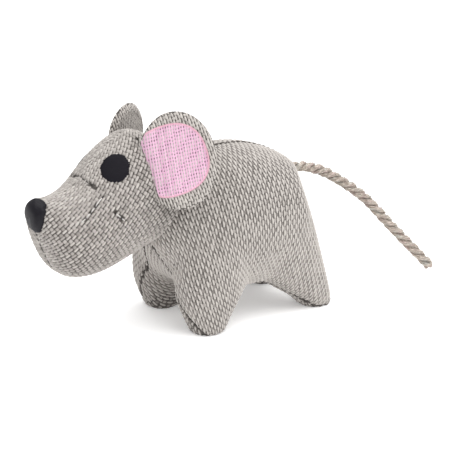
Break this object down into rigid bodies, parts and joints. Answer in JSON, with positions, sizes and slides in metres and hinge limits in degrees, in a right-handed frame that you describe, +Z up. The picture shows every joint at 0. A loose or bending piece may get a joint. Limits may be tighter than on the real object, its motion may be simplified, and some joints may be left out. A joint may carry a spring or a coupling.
{
  "type": "stuffed mouse dog toy",
  "caption": "Stuffed woven canvas mouse for a dog, standing on short legs, with folding round ears, stitched eyes and nose, an inner squeaker and a rope tail.",
  "frame": {"origin": "on the floor under the middle of the toy's box, measured without the rope tail", "axes": "+X towards the tail, +Y towards the mouse's right, +Z up from the soles"},
  "size_m": [0.244, 0.0795, 0.122],
  "materials": {
    "canvas": "coarse woven, matt",
    "stuffing": "loose fibre, matt",
    "black_thread": "satin stitched, slightly shiny",
    "pink_thread": "filled embroidery, slightly shiny",
    "rope": "laid cotton rope, matt",
    "bladder": "blown soft plastic, satin",
    "reed": "moulded, smooth"
  },
  "bodies": {
    "toy": {"body_left_panel": "canvas", "body_right_panel": "canvas", "belly_panel": "canvas", "front_left_leg_cover": "canvas", "front_right_leg_cover": "canvas", "rear_left_leg_cover": "canvas", "rear_right_leg_cover": "canvas", "head_left_panel": "canvas", "head_right_panel": "canvas", "left_ear_root": "canvas", "right_ear_root": "canvas", "body_stuffing_left": "stuffing", "body_stuffing_right": "stuffing", "front_left_leg_stuffing": "stuffing", "front_right_leg_stuffing": "stuffing", "rear_left_leg_stuffing": "stuffing", "rear_right_leg_stuffing": "stuffing", "head_stuffing": "stuffing", "nose": "black_thread", "left_eye": "black_thread", "right_eye": "black_thread", "tail_root_knot": "rope", "squeaker_bladder": "bladder", "squeaker_reed": "reed"},
    "left_ear": {"left_ear_back": "canvas", "left_ear_front": "canvas", "left_ear_patch": "pink_thread"},
    "right_ear": {"right_ear_back": "canvas", "right_ear_front": "canvas", "right_ear_patch": "pink_thread"},
    "tail_base": {"tail_base": "rope"},
    "tail_tip": {"tail_rope": "rope"}
  },
  "joints": [
    {"name": "left_ear_fold", "type": "hinge", "parent": "toy", "child": "left_ear", "pos_m": [-0.02182, -0.02187, 0.09424], "axis": [0.1292, -0.3715, -0.9194], "range_deg": [-15, 75], "stiffness_Nm_per_rad": 0.01},
    {"name": "right_ear_fold", "type": "hinge", "parent": "toy", "child": "right_ear", "pos_m": [-0.01966, 0.02433, 0.08639], "axis": [-0.1635, -0.3374, 0.9271], "range_deg": [-15, 75], "stiffness_Nm_per_rad": 0.01},
    {"name": "tail_swing", "type": "hinge", "parent": "toy", "child": "tail_base", "pos_m": [0.0862, 0, 0.069], "axis": [0, 0, 1], "range_deg": [-50, 50], "stiffness_Nm_per_rad": 0.02},
    {"name": "tail_lift", "type": "hinge", "parent": "tail_base", "child": "tail_tip", "pos_m": [0.0995, -0.001, 0.0646], "axis": [0, -1, 0], "range_deg": [0, 70], "stiffness_Nm_per_rad": 0.02}
  ]
}
